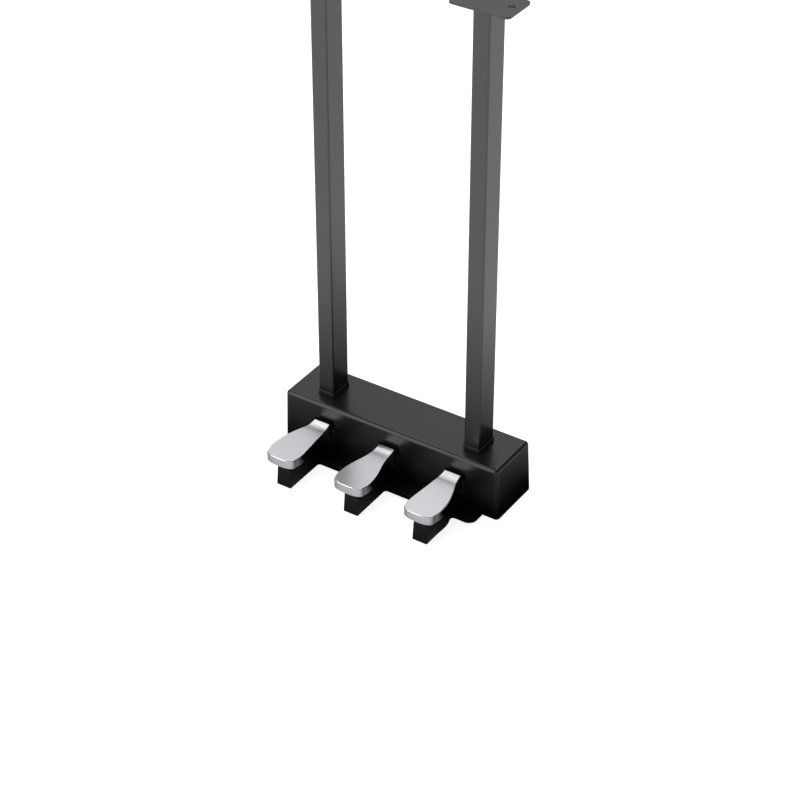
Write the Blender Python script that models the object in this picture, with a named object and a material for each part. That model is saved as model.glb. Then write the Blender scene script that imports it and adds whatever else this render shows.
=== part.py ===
"""Three-pedal lyre of a digital piano: pedal box, pedals with their works, posts and flanges."""
import math

import bmesh
import bpy
import numpy as np
from mathutils import Matrix, Vector

# ---- driving dimensions, millimetres; the floor is z = 0, the pedals point to -Y ----
MM = 0.001
GAP = 0.3                    # clearance between touching pieces
OVER = 8.0                   # how far a cutter runs past the surface it opens
ORIGIN_Y = 41.15             # moves the origin under the middle of the whole unit

PEDAL_PITCH = 87.2
PEDAL_TOP_Z = 45.3
PEDAL_WALL = 11.0
PEDAL_BOTTOM_Z = PEDAL_TOP_Z - PEDAL_WALL
PEDAL_REACH = 86.3           # tip in front of the cover
PEDAL_START = 4.5            # chrome begins this far in front of the cover
PEDAL_EDGE = 1.0

SHELL_TOP_X = 141.0          # half length of the cover at its top
SHELL_BOTTOM_X = SHELL_TOP_X + 2.0
SHELL_FRONT_Y = -34.0
SHELL_BACK_TOP_Y = 35.0
SHELL_BACK_BOTTOM_Y = SHELL_BACK_TOP_Y + 3.0
SHELL_BOTTOM_Z = 1.3
SHELL_TOP_Z = PEDAL_TOP_Z + 22.2
SHELL_WALL = 3.0
SHELL_ROUND = 4.5

FOOT_PROUD = 1.0             # height of the base plate above the floor
PLATE_X = SHELL_TOP_X - 17.5         # half length of the front part, seen under the pedals
PLATE_INNER_X = SHELL_TOP_X - 1.6    # half length of the part that closes the cover
PLATE_FRONT_Y = SHELL_FRONT_Y - 22.0
PLATE_BACK_Y = SHELL_BACK_TOP_Y - 0.8
PLATE_THICK = 6.0
PLATE_ROUND = 10.0
PLATE_EDGE = 1.0
PLATE_Z = FOOT_PROUD + PLATE_THICK

ARM_HALF = 10.0
ARM_TOP_Z = PEDAL_TOP_Z - 0.5
ARM_BOTTOM_Z = ARM_TOP_Z - 8.5
ARM_BOSS_R = 7.0
PIVOT_Y = 20.0
PIVOT_Z = PEDAL_TOP_Z - 5.0
TENON_HALF = 7.0
TENON_REACH = 44.0
TENON_TOP_Z = PEDAL_BOTTOM_Z + 5.0
FIN_HALF = 1.0
FIN_BOTTOM_Z = ARM_BOTTOM_Z - 13.3

OPEN_HALF = ARM_HALF + 3.4   # pedal openings in the cover
OPEN_BOTTOM_Z = 13.0
OPEN_TOP_Z = PEDAL_TOP_Z + 1.4
OPEN_ROUND = 2.5

TONGUE_REACH = 77.5          # tongue tip in front of the cover
TONGUE_HALF = 9.5
TONGUE_OFFSET = 3.4          # outer tongues lean outwards with their pedals
TONGUE_TOP_Z = PEDAL_BOTTOM_Z - 10.7
TONGUE_DRAFT = 2.4
TONGUE_BACK_Y = SHELL_FRONT_Y - 7.0
TONGUE_FILLET = 4.0

PAD_HALF = 6.0
PAD_FRONT_Y = -98.0
PAD_BACK_Y = -72.0
PAD_THICK = 2.0

PIN_R = 2.5
PIN_HEAD_R = 4.0
PIN_HEAD = 2.0
PIN_TAIL = 3.0
CLIP_R = 3.6
CLIP_THICK = 1.2
BRACKET_HALF = ARM_HALF + 4.0
BRACKET_SHEET = 2.5
BRACKET_FRONT_Y = 11.0
BRACKET_BACK_Y = 29.0
BRACKET_TOP_Z = PIVOT_Z + 8.0
BRACKET_ROUND = 6.0

SPRING_Y = -4.0
SPRING_R = 5.5
SPRING_WIRE_R = 0.7
SPRING_TURNS = 5
SPRING_STEPS = 12
PEG_R = 3.2
PEG_TOP_Z = PLATE_Z + 6.0

RAIL_X = SHELL_TOP_X - 21.0
RAIL_FRONT_Y = -22.0
RAIL_BACK_Y = 16.0
RAIL_TOP_Z = BRACKET_TOP_Z + 5.2
RAIL_SHEET = 2.5
RAIL_FLANGE = 16.5
RAIL_SCREW_X = RAIL_X - 10.0
RAIL_SCREW_Y = -3.0

FELT_HALF = 8.0
FELT_FRONT_Y = -20.0
FELT_BACK_Y = -8.0

BOARD_X = PEDAL_PITCH + 12.8
BOARD_FRONT_Y = -23.8
BOARD_BACK_Y = -12.0
BOARD_Z = PLATE_Z + 1.3
BOARD_THICK = 1.6
BOARD_PAD_X = 36.0
BOARD_PAD_HALF = 4.0
SENSOR_HALF = 6.0
SENSOR_FRONT_Y = -22.0
SENSOR_BACK_Y = -14.0
SENSOR_TOP_Z = FIN_BOTTOM_Z + 5.0
SENSOR_FLOOR = 2.6
SENSOR_SLOT_HALF = 1.8

POST_X = 96.8
POST_Y = -1.0
POST_WIDE = 10.0             # half width of the tube
POST_DEEP = 15.0             # half depth of the tube
POST_WALL = 1.5
POST_ROUND = 2.0
POST_TOP_Z = 597.0
PLUG_HIGH = 28.0
PEG_HIGH = 30.0
COLLAR_WALL = 0.9
COLLAR_HIGH = 5.0
FLANGE_HALF_X = 35.0
FLANGE_HALF_Y = 22.0
FLANGE_THICK = 3.0
FLANGE_ROUND = 5.0
FLANGE_HOLE_X = 25.0
FLANGE_HOLE_R = 3.0

BOLT_R = 3.0
BOLT_HEAD_R = 5.0
BOLT_HEAD = 4.0
BOLT_REACH = 20.0
SCREW_R = 1.5
SCREW_HEAD_R = 3.0
SCREW_HEAD = 2.0
SCREW_REACH = 4.0            # depth of thread in the base plate
CAP_SCREW_R = 1.7
CAP_SCREW_HEAD_R = 3.5
CAP_SCREW_Y = -58.0
CAP_SCREW_TOP_Z = PEDAL_TOP_Z - 3.0
TOP_SCREW_R = 2.0
TOP_SCREW_HEAD_R = 4.0
TOP_SCREW_DROP = 15.0
TOP_SCREW_REACH = 8.0
COVER_SCREW_HEAD_R = 3.4
COVER_SCREW_REACH = 10.0
BOSS_R = 3.6
BOSS_X = PEDAL_PITCH / 2
BOSS_FRONT_Y = SHELL_FRONT_Y + 5.5
BOSS_BACK_Y = 26.2

FOOT_R = 6.0
FOOT_SINK = 1.2
TONGUE_FOOT_Y = SHELL_FRONT_Y - TONGUE_REACH + 9.5
REAR_FOOT_X = SHELL_TOP_X - 33.0
REAR_FOOT_Y = 20.0

SOCKET_X = PEDAL_PITCH * 0.67
SOCKET_Z = 31.0
SOCKET_HALF = 7.0
SOCKET_FRONT_Y = 21.0
SOCKET_BACK_Y = SHELL_BACK_TOP_Y - 2.2
SOCKET_BARREL_R = 6.0
SOCKET_FACE_Y = SHELL_BACK_TOP_Y + 2.3
SOCKET_BORE_R = 4.0
SOCKET_BORE = 8.0
HARNESS_R = 1.5

SMALL_SIDES = 16
ROUND_SIDES = 24

# half widths of a pedal at distances in front of the cover: symmetric, outer side, inner side
MIDDLE_SIDE = [(4.5, 10.4), (12, 10.7), (20, 11.3), (27, 12.3), (34, 14.0), (41, 16.0),
               (48, 18.0), (55, 19.4), (62, 20.3), (69, 20.6), (74, 20.1), (78, 18.9)]
OUTER_SIDE = [(4.5, 10.4), (10, 11.0), (16, 12.2), (21, 13.8), (26, 16.0), (32, 18.2),
              (37, 19.8), (42, 21.4), (48, 22.8), (55, 23.8), (62, 24.3), (70, 24.2), (77, 22.6)]
INNER_SIDE = [(4.5, 10.4), (15, 11.3), (25, 12.2), (35, 13.1), (46, 14.2), (55, 15.1),
              (63, 15.8), (71, 15.9), (78, 14.6)]
# outer side of an outer tongue at distances in front of the cover
TONGUE_OUTER_SIDE = [(24.5, 10.2), (31, 12.2), (37, 13.4), (43, 13.6), (50, 13.2), (60, 12.9)]

SIDES = {"left": -1, "middle": 0, "right": 1}


# ---- materials ----
def material(name, colour, metallic, roughness):
    made = bpy.data.materials.new(name)
    made.use_nodes = True
    shader = made.node_tree.nodes["Principled BSDF"]
    shader.inputs["Base Color"].default_value = (*colour, 1.0)
    shader.inputs["Metallic"].default_value = metallic
    shader.inputs["Roughness"].default_value = roughness
    return made


LOOKS = {
    "satin_black": ((0.035, 0.035, 0.037), 0.0, 0.35),
    "post_grey": ((0.07, 0.07, 0.07), 0.0, 0.38),
    "base_black": ((0.012, 0.012, 0.012), 0.0, 0.45),
    "chrome": ((0.75, 0.76, 0.78), 1.0, 0.12),
    "arm_black": ((0.02, 0.02, 0.02), 0.0, 0.5),
    "zinc": ((0.55, 0.56, 0.58), 1.0, 0.35),
    "spring_steel": ((0.4, 0.4, 0.42), 1.0, 0.3),
    "rubber": ((0.015, 0.015, 0.015), 0.0, 0.8),
    "felt": ((0.22, 0.03, 0.03), 0.0, 0.95),
    "board_green": ((0.03, 0.16, 0.07), 0.0, 0.5),
    "sensor_black": ((0.02, 0.02, 0.022), 0.0, 0.4),
    "wire_grey": ((0.2, 0.2, 0.2), 0.0, 0.6),
}


# ---- shapes ----
def link(name, data, place, parent):
    """Make an object whose own origin is at place, in the model's millimetres."""
    made = bpy.data.objects.new(name, data)
    bpy.context.scene.collection.objects.link(made)
    made.location = (Vector(place) + Vector((0, ORIGIN_Y, 0))) * MM
    if parent:
        made.location -= parent.location
        made.parent = parent
    return made


def finish(name, bm, look, place=(0, 0, 0), parent=None):
    """Turn a bmesh in millimetres into a named object in metres."""
    bmesh.ops.translate(bm, vec=-Vector(place), verts=bm.verts)
    bmesh.ops.scale(bm, vec=(MM, MM, MM), verts=bm.verts)
    bmesh.ops.recalc_face_normals(bm, faces=bm.faces)
    mesh = bpy.data.meshes.new(name)
    bm.to_mesh(mesh)
    bm.free()
    if look:
        mesh.materials.append(looks[look])
    return link(name, mesh, place, parent)


def tool(name, bm, target):
    """A helper solid used only by Boolean modifiers, which moves with its target."""
    place = target.location + (target.parent.location if target.parent else Vector())
    made = finish(name, bm, None, place / MM - Vector((0, ORIGIN_Y, 0)), target.parent)
    made.hide_render = True
    made.display_type = "WIRE"
    return made


def boolean(target, other, operation):
    step = target.modifiers.new(other.name, "BOOLEAN")
    step.operation = operation
    step.solver = "EXACT"
    step.use_self = True
    step.object = other


def cut(target, bm):
    boolean(target, tool(target.name + "_cut%d" % len(target.modifiers), bm, target), "DIFFERENCE")


def add(target, bm):
    boolean(target, tool(target.name + "_add%d" % len(target.modifiers), bm, target), "UNION")


def put_box(bm, low, high):
    size = Vector(high) - Vector(low)
    centre = (Vector(high) + Vector(low)) / 2
    matrix = Matrix.Translation(centre) @ Matrix.Diagonal((*size, 1.0))
    return bmesh.ops.create_cube(bm, size=1.0, matrix=matrix)["verts"]


def round_edges(bm, verts, direction, radius, segments, keep=None):
    """Bevel the edges of these vertices that run along one axis (0 x, 1 y, 2 z)."""
    chosen = []
    for edge in {e for v in verts for e in v.link_edges}:
        a, b = edge.verts[0].co, edge.verts[1].co
        along = (b - a).normalized()
        if abs(along[direction]) > 0.9 and (keep is None or keep((a + b) / 2)):
            chosen.append(edge)
    bmesh.ops.bevel(bm, geom=chosen, offset=radius, offset_type="OFFSET", segments=segments,
                    profile=0.5, affect="EDGES", clamp_overlap=True, material=-1)


def round_box(low, high, radius, segments=3, direction=2):
    bm = bmesh.new()
    round_edges(bm, put_box(bm, low, high), direction, radius, segments)
    return bm


def put_prism(bm, outline, z0, z1):
    """Extrude a closed outline of (x, y) points from z0 to z1."""
    face = bm.faces.new([bm.verts.new((x, y, z0)) for x, y in outline])
    lifted = bmesh.ops.extrude_face_region(bm, geom=[face])["geom"]
    top = [g for g in lifted if isinstance(g, bmesh.types.BMVert)]
    bmesh.ops.translate(bm, vec=(0, 0, z1 - z0), verts=top)
    return top


AXES = {
    "z": Matrix.Identity(4),
    "x": Matrix.Rotation(math.pi / 2, 4, "Y"),
    "y": Matrix.Rotation(-math.pi / 2, 4, "X"),
}


def put_rod(bm, centre, radius, length, axis="z", sides=SMALL_SIDES):
    """A cylinder that starts at centre and runs along +axis."""
    matrix = Matrix.Translation(centre) @ AXES[axis] @ Matrix.Translation((0, 0, length / 2))
    bmesh.ops.create_cone(bm, cap_ends=True, cap_tris=False, segments=sides, radius1=radius,
                          radius2=radius, depth=length, matrix=matrix)


def lathe(profile, centre, axis="z", sides=SMALL_SIDES):
    """Spin (radius, height) points, which start and end on the axis, about the axis."""
    bm = bmesh.new()
    verts = [bm.verts.new((r, 0, h)) for r, h in profile]
    edges = [bm.edges.new(pair) for pair in zip(verts, verts[1:])]
    bmesh.ops.spin(bm, geom=verts + edges, cent=(0, 0, 0), axis=(0, 0, 1), angle=2 * math.pi,
                   steps=sides, use_duplicate=False)
    bmesh.ops.remove_doubles(bm, verts=bm.verts, dist=MM)
    bmesh.ops.transform(bm, matrix=Matrix.Translation(centre) @ AXES[axis], verts=bm.verts)
    return bm


def headed(name, centre, shank_r, shank, head_r, head, place=None, parent=None):
    """A screw or bolt: head below the shank, the underside of the head at centre."""
    profile = [(0, -head), (head_r, -head), (head_r, 0), (shank_r, 0), (shank_r, shank),
               (0, shank)]
    return finish(name, lathe(profile, centre), "zinc", place or centre, parent)


def smooth_side(knots, count):
    """Points along a smooth curve through (distance, width) knots."""
    d = np.array([k[0] for k in knots], float)
    w = np.array([k[1] for k in knots], float)
    slope = np.gradient(w, d)
    out = []
    for s in np.linspace(d[0], d[-1], count):
        i = min(int(np.searchsorted(d, s, side="right")) - 1, len(d) - 2)
        h = d[i + 1] - d[i]
        t = (s - d[i]) / h
        out.append((s, (2 * t ** 3 - 3 * t ** 2 + 1) * w[i] + (t ** 3 - 2 * t ** 2 + t) * h * slope[i]
                    + (3 * t ** 2 - 2 * t ** 3) * w[i + 1] + (t ** 3 - t ** 2) * h * slope[i + 1]))
    return out


def pedal_outline(side, count=13, tip=9):
    """Plan of one pedal, anticlockwise from the root on its -X side."""
    if side == 0:
        minus, plus = MIDDLE_SIDE, MIDDLE_SIDE
    elif side > 0:
        minus, plus = INNER_SIDE, OUTER_SIDE
    else:
        minus, plus = OUTER_SIDE, INNER_SIDE
    left = [(-w, -d) for d, w in smooth_side(minus, count)]
    right = [(w, -d) for d, w in smooth_side(plus, count)]
    (xa, ya), (xb, yb) = left[-1], right[-1]
    middle, half = (xa + xb) / 2, (xb - xa) / 2
    front = []
    for k in range(1, tip):
        t = math.pi * k / tip
        x = middle - half * math.copysign(abs(math.cos(t)) ** 0.8, math.cos(t))
        base = ya + (yb - ya) * k / tip
        front.append((x, base + (-PEDAL_REACH - base) * math.sin(t) ** 0.75))
    return left + front + right[::-1]


def tongue_outline(side):
    tip = -TONGUE_REACH
    back = TONGUE_BACK_Y - SHELL_FRONT_Y
    if side == 0:
        return [(-TONGUE_HALF, back), (-TONGUE_HALF, tip), (TONGUE_HALF, tip), (TONGUE_HALF, back)]
    inner = TONGUE_OFFSET - TONGUE_HALF
    curve = [(w, -d) for d, w in smooth_side(TONGUE_OUTER_SIDE, 9)]
    outer = [(TONGUE_OFFSET + TONGUE_HALF, tip)] + curve[::-1] + [(curve[0][0], back)]
    points = [(inner, back), (inner, tip)] + outer
    return points if side > 0 else [(-x, y) for x, y in points][::-1]


def shifted(points, x):
    return [(px + x, py + SHELL_FRONT_Y) for px, py in points]


# ---- the cover ----
def shell_box(bm, inset, bottom_z):
    """The tapered outer shape of the cover, moved in by inset on every wall and the top."""
    verts = put_box(bm, (-1, -1, -1), (1, 1, 1))
    slope_x = (SHELL_BOTTOM_X - SHELL_TOP_X) / (SHELL_TOP_Z - SHELL_BOTTOM_Z)
    slope_y = (SHELL_BACK_BOTTOM_Y - SHELL_BACK_TOP_Y) / (SHELL_TOP_Z - SHELL_BOTTOM_Z)
    for v in verts:
        z = SHELL_TOP_Z - inset if v.co.z > 0 else bottom_z
        down = SHELL_TOP_Z - z
        x = SHELL_TOP_X + slope_x * down - inset
        back = SHELL_BACK_TOP_Y + slope_y * down - inset
        v.co = (math.copysign(x, v.co.x), back if v.co.y > 0 else SHELL_FRONT_Y + inset, z)
    return verts


def make_cover():
    bm = bmesh.new()
    shell_box(bm, 0, SHELL_BOTTOM_Z)
    chosen = [e for e in bm.edges if max(v.co.z for v in e.verts) > SHELL_BOTTOM_Z + 1]
    bmesh.ops.bevel(bm, geom=chosen, offset=SHELL_ROUND, offset_type="OFFSET", segments=3,
                    profile=0.5, affect="EDGES", clamp_overlap=True, material=-1)
    cover = finish("shell_cover", bm, "satin_black")
    bm = bmesh.new()
    shell_box(bm, SHELL_WALL, SHELL_BOTTOM_Z - OVER)
    cut(cover, bm)
    bm = bmesh.new()
    for x, y in BOSSES:
        foot = PLATE_Z + 2 * GAP
        put_rod(bm, (x, y, foot), BOSS_R, SHELL_TOP_Z - SHELL_WALL / 2 - foot)
    add(cover, bm)
    bm = bmesh.new()
    inside = SHELL_FRONT_Y + SHELL_WALL
    for side in SIDES.values():
        x = side * PEDAL_PITCH
        verts = put_box(bm, (x - OPEN_HALF, SHELL_FRONT_Y - OVER, OPEN_BOTTOM_Z),
                        (x + OPEN_HALF, inside + OVER / 8, OPEN_TOP_Z))
        round_edges(bm, verts, 1, OPEN_ROUND, 2)
    reach = PLATE_X + GAP
    put_box(bm, (-reach, SHELL_FRONT_Y - OVER, -OVER), (reach, inside + 1, PLATE_Z + GAP))
    for sign in (-1, 1):
        x, room = sign * POST_X, GAP
        low = (x - POST_WIDE - room, POST_Y - POST_DEEP - room, SHELL_TOP_Z - SHELL_WALL - 1)
        high = (x + POST_WIDE + room, POST_Y + POST_DEEP + room, SHELL_TOP_Z + OVER)
        round_edges(bm, put_box(bm, low, high), 2, POST_ROUND, 2)
    put_rod(bm, (SOCKET_X, SOCKET_BACK_Y - 2 * GAP, SOCKET_Z), SOCKET_BARREL_R + GAP, OVER, "y")
    for x, y in BOSSES:
        put_rod(bm, (x, y, 0), SCREW_R + GAP, PLATE_Z + COVER_SCREW_REACH + 1)
    cut(cover, bm)


# ---- the base plate with its three tongues ----
def plate_outline():
    step_y = SHELL_FRONT_Y + SHELL_WALL + GAP
    points = [(-PLATE_INNER_X, PLATE_BACK_Y), (-PLATE_INNER_X, step_y), (-PLATE_X, step_y)]
    steps = 5
    for k in range(steps + 1):
        t = math.pi / 2 * k / steps
        points.append((-PLATE_X + PLATE_ROUND * (1 - math.cos(t)),
                       PLATE_FRONT_Y + PLATE_ROUND * (1 - math.sin(t))))
    for side in SIDES.values():
        edges = tongue_edges(side)
        for sign, x in zip((-1, 1), edges):
            arc = []
            for k in range(4):
                t = math.pi / 2 * k / 3
                arc.append((x + sign * TONGUE_FILLET * (1 - math.sin(t)),
                            PLATE_FRONT_Y - TONGUE_FILLET * (1 - math.cos(t))))
            points += arc if sign < 0 else arc[::-1]
    for k in range(steps + 1):
        t = math.pi / 2 * k / steps
        points.append((PLATE_X - PLATE_ROUND * (1 - math.sin(t)),
                       PLATE_FRONT_Y + PLATE_ROUND * (1 - math.cos(t))))
    return points + [(PLATE_X, step_y), (PLATE_INNER_X, step_y), (PLATE_INNER_X, PLATE_BACK_Y)]


def tongue_edges(side):
    """X of the two sides of a tongue where it leaves the plate, kept just inside it."""
    distance = SHELL_FRONT_Y - PLATE_FRONT_Y + TONGUE_FILLET
    wide = float(np.interp(distance, *zip(*TONGUE_OUTER_SIDE)))
    minus, plus = -TONGUE_HALF, TONGUE_HALF
    if side > 0:
        minus, plus = TONGUE_OFFSET - TONGUE_HALF, wide
    if side < 0:
        minus, plus = -wide, TONGUE_HALF - TONGUE_OFFSET
    inset = GAP
    return side * PEDAL_PITCH + minus + inset, side * PEDAL_PITCH + plus - inset


def foot_places():
    places = [("foot_" + name, tongue_middle(side), TONGUE_FOOT_Y) for name, side in SIDES.items()]
    return places + [("foot_rear_left", -REAR_FOOT_X, REAR_FOOT_Y),
                     ("foot_rear_right", REAR_FOOT_X, REAR_FOOT_Y)]


def tongue_middle(side):
    return side * (PEDAL_PITCH + TONGUE_OFFSET)


def make_base():
    bm = bmesh.new()
    put_prism(bm, plate_outline(), FOOT_PROUD, PLATE_Z)
    rim = [e for e in bm.edges if all(abs(v.co.z - PLATE_Z) < MM for v in e.verts)]
    bmesh.ops.bevel(bm, geom=rim, offset=PLATE_EDGE, offset_type="OFFSET", segments=1,
                    profile=0.5, affect="EDGES", clamp_overlap=True, material=-1)
    base = finish("base_plate", bm, "base_black")
    bm = bmesh.new()
    for side in SIDES.values():
        outline = shifted(tongue_outline(side), side * PEDAL_PITCH)
        top = put_prism(bm, outline, FOOT_PROUD, TONGUE_TOP_Z)
        tip = SHELL_FRONT_Y - TONGUE_REACH
        for v in top:
            if v.co.y < tip + 1:
                v.co.y += TONGUE_DRAFT
        edges = {e for v in top for e in v.link_edges if all(w in top for w in e.verts)}
        bmesh.ops.bevel(bm, geom=list(edges), offset=PLATE_EDGE, offset_type="OFFSET", segments=1,
                        profile=0.5, affect="EDGES", clamp_overlap=True, material=-1)
        put_rod(bm, (side * PEDAL_PITCH, SPRING_Y, PLATE_Z - 1), PEG_R, PEG_TOP_Z - PLATE_Z + 1)
    for sign in (-1, 1):
        x = sign * BOARD_PAD_X
        put_box(bm, (x - BOARD_PAD_HALF, BOARD_FRONT_Y, PLATE_Z - 1),
                (x + BOARD_PAD_HALF, BOARD_BACK_Y, BOARD_Z - GAP))
    add(base, bm)
    bm = bmesh.new()
    for _, x, y in foot_places():
        put_rod(bm, (x, y, 0), FOOT_R + GAP, FOOT_PROUD + FOOT_SINK + GAP)
    for x, y in BOSSES:
        put_rod(bm, (x, y, 0), COVER_SCREW_HEAD_R + GAP, FOOT_PROUD + SCREW_HEAD + GAP)
        put_rod(bm, (x, y, FOOT_PROUD + SCREW_HEAD), SCREW_R + GAP, OVER)
    for x, y in [(sign * RAIL_SCREW_X, RAIL_SCREW_Y) for sign in (-1, 1)] + \
            [(side * PEDAL_PITCH, PIVOT_Y) for side in SIDES.values()]:
        put_rod(bm, (x, y, PLATE_Z - SCREW_REACH - GAP), SCREW_R + GAP, OVER)
    cut(base, bm)
    for name, x, y in foot_places():
        bm = bmesh.new()
        put_rod(bm, (x, y, 0), FOOT_R, FOOT_PROUD + FOOT_SINK)
        finish(name, bm, "rubber", (x, y, 0))


# ---- a pedal and its works ----
def make_pedal(name, side):
    x = side * PEDAL_PITCH
    axis = (x, PIVOT_Y, PIVOT_Z)
    pivot = link("pivot_" + name, None, axis, None)
    bm = bmesh.new()
    top = put_prism(bm, shifted(pedal_outline(side), x), PEDAL_BOTTOM_Z, PEDAL_TOP_Z)
    rim = {e for v in top for e in v.link_edges if all(w in top for w in e.verts)}
    bmesh.ops.bevel(bm, geom=list(rim), offset=PEDAL_EDGE, offset_type="OFFSET", segments=2,
                    profile=0.5, affect="EDGES", clamp_overlap=True, material=-1)
    cap = finish("pedal_" + name, bm, "chrome", axis, pivot)
    root = SHELL_FRONT_Y - PEDAL_START
    bm = bmesh.new()
    put_box(bm, (x - TENON_HALF - GAP, root - TENON_REACH + PEDAL_START, PEDAL_BOTTOM_Z - OVER),
            (x + TENON_HALF + GAP, root + OVER, TENON_TOP_Z + GAP))
    put_rod(bm, (x, CAP_SCREW_Y, TENON_TOP_Z), CAP_SCREW_R + GAP,
            CAP_SCREW_TOP_Z + GAP - TENON_TOP_Z)
    cut(cap, bm)

    bm = bmesh.new()
    put_box(bm, (x - ARM_HALF, root + GAP, ARM_BOTTOM_Z), (x + ARM_HALF, PIVOT_Y, ARM_TOP_Z))
    arm = finish("arm_" + name, bm, "arm_black", axis, pivot)
    bm = bmesh.new()
    put_box(bm, (x - TENON_HALF, root - TENON_REACH + PEDAL_START + GAP, PEDAL_BOTTOM_Z),
            (x + TENON_HALF, root + 4 * GAP, TENON_TOP_Z))
    put_rod(bm, (x - ARM_HALF, PIVOT_Y, PIVOT_Z), ARM_BOSS_R, 2 * ARM_HALF, "x", ROUND_SIDES)
    put_box(bm, (x - FIN_HALF, SENSOR_FRONT_Y, FIN_BOTTOM_Z),
            (x + FIN_HALF, SENSOR_BACK_Y, ARM_BOTTOM_Z + 1))
    add(arm, bm)
    bm = bmesh.new()
    put_rod(bm, (x - ARM_HALF - 1, PIVOT_Y, PIVOT_Z), PIN_R + GAP, 2 * ARM_HALF + 2, "x")
    put_rod(bm, (x, CAP_SCREW_Y, PEDAL_BOTTOM_Z - 1), CAP_SCREW_R + GAP,
            TENON_TOP_Z - PEDAL_BOTTOM_Z + 2)
    cut(arm, bm)
    headed("cap_screw_" + name, (x, CAP_SCREW_Y, PEDAL_BOTTOM_Z - GAP), CAP_SCREW_R,
           CAP_SCREW_TOP_Z - PEDAL_BOTTOM_Z + GAP, CAP_SCREW_HEAD_R, SCREW_HEAD, axis, pivot)

    reach = BRACKET_HALF + GAP
    profile = [(0, -reach - PIN_HEAD), (PIN_HEAD_R, -reach - PIN_HEAD), (PIN_HEAD_R, -reach),
               (PIN_R, -reach), (PIN_R, reach), (CLIP_R, reach), (CLIP_R, reach + CLIP_THICK),
               (PIN_R, reach + CLIP_THICK), (PIN_R, reach + PIN_TAIL), (0, reach + PIN_TAIL)]
    finish("pivot_pin_" + name, lathe(profile, axis, "x"), "zinc", axis)

    bm = bmesh.new()
    verts = put_box(bm, (x - BRACKET_HALF, BRACKET_FRONT_Y, PLATE_Z + GAP),
                    (x + BRACKET_HALF, BRACKET_BACK_Y, BRACKET_TOP_Z))
    round_edges(bm, verts, 0, BRACKET_ROUND, 3, keep=lambda c: c.z > PIVOT_Z)
    bracket = finish("pivot_bracket_" + name, bm, "zinc", (x, PIVOT_Y, PLATE_Z))
    bm = bmesh.new()
    inner = BRACKET_HALF - BRACKET_SHEET
    put_box(bm, (x - inner, BRACKET_FRONT_Y - 1, PLATE_Z + GAP + BRACKET_SHEET),
            (x + inner, BRACKET_BACK_Y + 1, BRACKET_TOP_Z + 1))
    cut(bracket, bm)
    bm = bmesh.new()
    put_rod(bm, (x - BRACKET_HALF - 1, PIVOT_Y, PIVOT_Z), PIN_R + GAP, 2 * BRACKET_HALF + 2, "x")
    put_rod(bm, (x, PIVOT_Y, PLATE_Z), SCREW_R + GAP, BRACKET_SHEET + 1)
    cut(bracket, bm)
    down_screw("bracket_screw_" + name, x, PIVOT_Y, PLATE_Z + GAP + BRACKET_SHEET)

    make_spring(name, x)
    bm = round_box((tongue_middle(side) - PAD_HALF, PAD_FRONT_Y, TONGUE_TOP_Z + GAP),
                   (tongue_middle(side) + PAD_HALF, PAD_BACK_Y, TONGUE_TOP_Z + GAP + PAD_THICK), 2)
    finish("down_stop_" + name, bm, "rubber", (tongue_middle(side), PAD_BACK_Y, TONGUE_TOP_Z))
    bm = bmesh.new()
    put_box(bm, (x - FELT_HALF, FELT_FRONT_Y, ARM_TOP_Z + GAP),
            (x + FELT_HALF, FELT_BACK_Y, RAIL_TOP_Z - RAIL_SHEET - GAP))
    finish("up_stop_" + name, bm, "felt", (x, FELT_BACK_Y, RAIL_TOP_Z))

    board_top = BOARD_Z + BOARD_THICK + GAP
    bm = bmesh.new()
    put_box(bm, (x - SENSOR_HALF, SENSOR_FRONT_Y, board_top),
            (x + SENSOR_HALF, SENSOR_BACK_Y, SENSOR_TOP_Z))
    sensor = finish("sensor_" + name, bm, "sensor_black", (x, SENSOR_BACK_Y, BOARD_Z))
    bm = bmesh.new()
    put_box(bm, (x - SENSOR_SLOT_HALF, SENSOR_FRONT_Y - 1, board_top + SENSOR_FLOOR),
            (x + SENSOR_SLOT_HALF, SENSOR_BACK_Y + 1, SENSOR_TOP_Z + 1))
    cut(sensor, bm)


def down_screw(name, x, y, seat_z):
    """A screw driven downwards, its head resting on seat_z."""
    depth = seat_z + GAP - (PLATE_Z - SCREW_REACH)
    profile = [(0, -depth), (SCREW_R, -depth), (SCREW_R, 0), (SCREW_HEAD_R, 0),
               (SCREW_HEAD_R, SCREW_HEAD), (0, SCREW_HEAD)]
    centre = (x, y, seat_z + GAP)
    finish(name, lathe(profile, centre), "zinc", centre)


def make_spring(name, x):
    bottom = PLATE_Z + GAP + SPRING_WIRE_R
    top = ARM_BOTTOM_Z - GAP - SPRING_WIRE_R
    count = SPRING_TURNS * SPRING_STEPS
    path = bpy.data.curves.new("return_spring_" + name, "CURVE")
    path.dimensions = "3D"
    line = path.splines.new("POLY")
    line.points.add(count)
    for k in range(count + 1):
        t = 2 * math.pi * k / SPRING_STEPS
        point = (SPRING_R * math.cos(t), SPRING_R * math.sin(t), (top - bottom) * k / count)
        line.points[k].co = (*(c * MM for c in point), 1.0)
    path.bevel_depth = SPRING_WIRE_R * MM
    path.bevel_resolution = 1
    path.use_fill_caps = True
    path.materials.append(looks["spring_steel"])
    link("return_spring_" + name, path, (x, SPRING_Y, bottom), None)


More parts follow.
